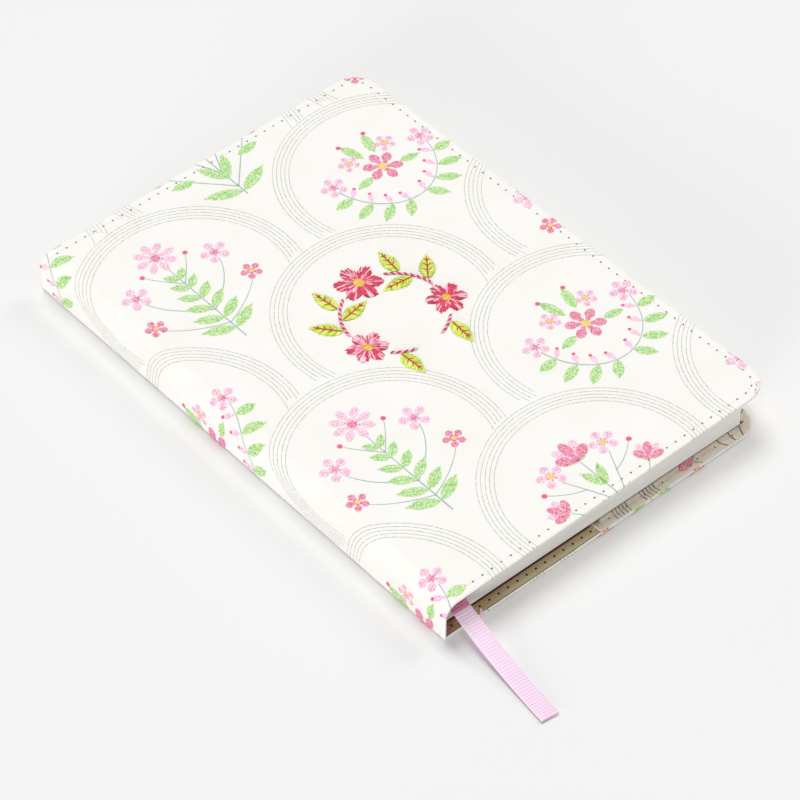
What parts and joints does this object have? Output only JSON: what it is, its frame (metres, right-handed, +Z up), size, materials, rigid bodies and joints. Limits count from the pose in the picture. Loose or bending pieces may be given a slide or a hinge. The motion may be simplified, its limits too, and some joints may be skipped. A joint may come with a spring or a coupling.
{
  "type": "notebook",
  "caption": "Soft-cover notebook with a printed slip jacket, stitched edges, inner flaps, a raised embroidered wreath, a sewn leaf block that opens flat and a ribbon marker.",
  "frame": {"origin": "under the middle of the closed jacket, on the surface it lies on", "axes": "+X from the spine to the fore edge, +Y from the tail to the head, +Z up out of the front cover"},
  "size_m": [0.1507, 0.2669, 0.0198],
  "materials": {
    "printed_skin": "soft matte faux leather with a fine grain and a printed pattern",
    "board": "flexible grey-brown board",
    "lining": "khaki faux leather, matte",
    "card": "brown kraft card",
    "paper": "uncoated off-white writing paper",
    "cloth": "binding cloth",
    "thread": "cream sewing thread",
    "ribbon": "pale pink ribbed ribbon",
    "blossom_thread": "red satin-stitch thread with yellow centres",
    "leaf_thread": "lime green satin-stitch thread"
  },
  "bodies": {
    "back_cover": {"back_cover_skin": "printed_skin", "back_board": "board", "back_lining": "lining", "back_flap": "printed_skin", "back_card": "card", "back_edge_stitching": "thread", "back_inner_stitching": "thread", "back_spine_cloth": "cloth", "leaf_section_1": "paper", "leaf_section_2": "paper", "leaf_section_3": "paper", "leaf_section_4": "paper", "ribbon_inner": "ribbon", "ribbon_tail": "ribbon"},
    "spine": {"spine_skin": "printed_skin", "spine_lining": "lining", "spine_head_stitching": "thread", "spine_tail_stitching": "thread"},
    "front_cover": {"front_cover_skin": "printed_skin", "front_board": "board", "front_lining": "lining", "front_flap": "printed_skin", "front_card": "card", "front_edge_stitching": "thread", "front_inner_stitching": "thread", "embroidered_top_blossom": "blossom_thread", "embroidered_left_blossom": "blossom_thread", "embroidered_right_blossom": "blossom_thread", "embroidered_left_stem": "blossom_thread", "embroidered_left_stem_end": "blossom_thread", "embroidered_right_stem": "blossom_thread", "embroidered_right_stem_end": "blossom_thread", "embroidered_left_leaf_1": "leaf_thread", "embroidered_left_leaf_2": "leaf_thread", "embroidered_left_leaf_3": "leaf_thread", "embroidered_left_leaf_4": "leaf_thread", "embroidered_right_leaf_1": "leaf_thread", "embroidered_right_leaf_2": "leaf_thread", "embroidered_right_leaf_3": "leaf_thread", "embroidered_right_leaf_4": "leaf_thread"},
    "leaves_5": {"leaf_section_5": "paper"},
    "leaves_6": {"leaf_section_6": "paper"},
    "leaves_7": {"leaf_section_7": "paper"},
    "leaves_8": {"leaf_section_8": "paper", "front_spine_cloth": "cloth"}
  },
  "joints": [
    {"name": "front_cover_hinge", "type": "hinge", "parent": "spine", "child": "front_cover", "pos_m": [-0.07535, 0, 0.0159], "axis": [0, -1, 0], "range_deg": [0, 88.5]},
    {"name": "spine_hinge", "type": "hinge", "parent": "back_cover", "child": "spine", "pos_m": [-0.07535, 0, 0], "axis": [0, -1, 0], "range_deg": [0, 90.01]},
    {"name": "leaf_hinge_1", "type": "hinge", "parent": "back_cover", "child": "leaves_5", "pos_m": [-0.07265, 0, 0.00799], "axis": [0, -1, 0], "range_deg": [0, 165.01]},
    {"name": "leaf_hinge_2", "type": "hinge", "parent": "back_cover", "child": "leaves_6", "pos_m": [-0.07265, 0, 0.00799], "axis": [0, -1, 0], "range_deg": [0, 169.51]},
    {"name": "leaf_hinge_3", "type": "hinge", "parent": "back_cover", "child": "leaves_7", "pos_m": [-0.07265, 0, 0.00799], "axis": [0, -1, 0], "range_deg": [0, 174.01]},
    {"name": "leaf_hinge_4", "type": "hinge", "parent": "back_cover", "child": "leaves_8", "pos_m": [-0.07265, 0, 0.00799], "axis": [0, -1, 0], "range_deg": [0, 178.51]}
  ],
  "couplings": [
    {"joint": "spine_hinge", "follows": "front_cover_hinge", "ratio": 1.0169},
    {"joint": "leaf_hinge_1", "follows": "front_cover_hinge", "ratio": 1.8644},
    {"joint": "leaf_hinge_2", "follows": "front_cover_hinge", "ratio": 1.9153},
    {"joint": "leaf_hinge_3", "follows": "front_cover_hinge", "ratio": 1.9661},
    {"joint": "leaf_hinge_4", "follows": "front_cover_hinge", "ratio": 2.0169}
  ]
}
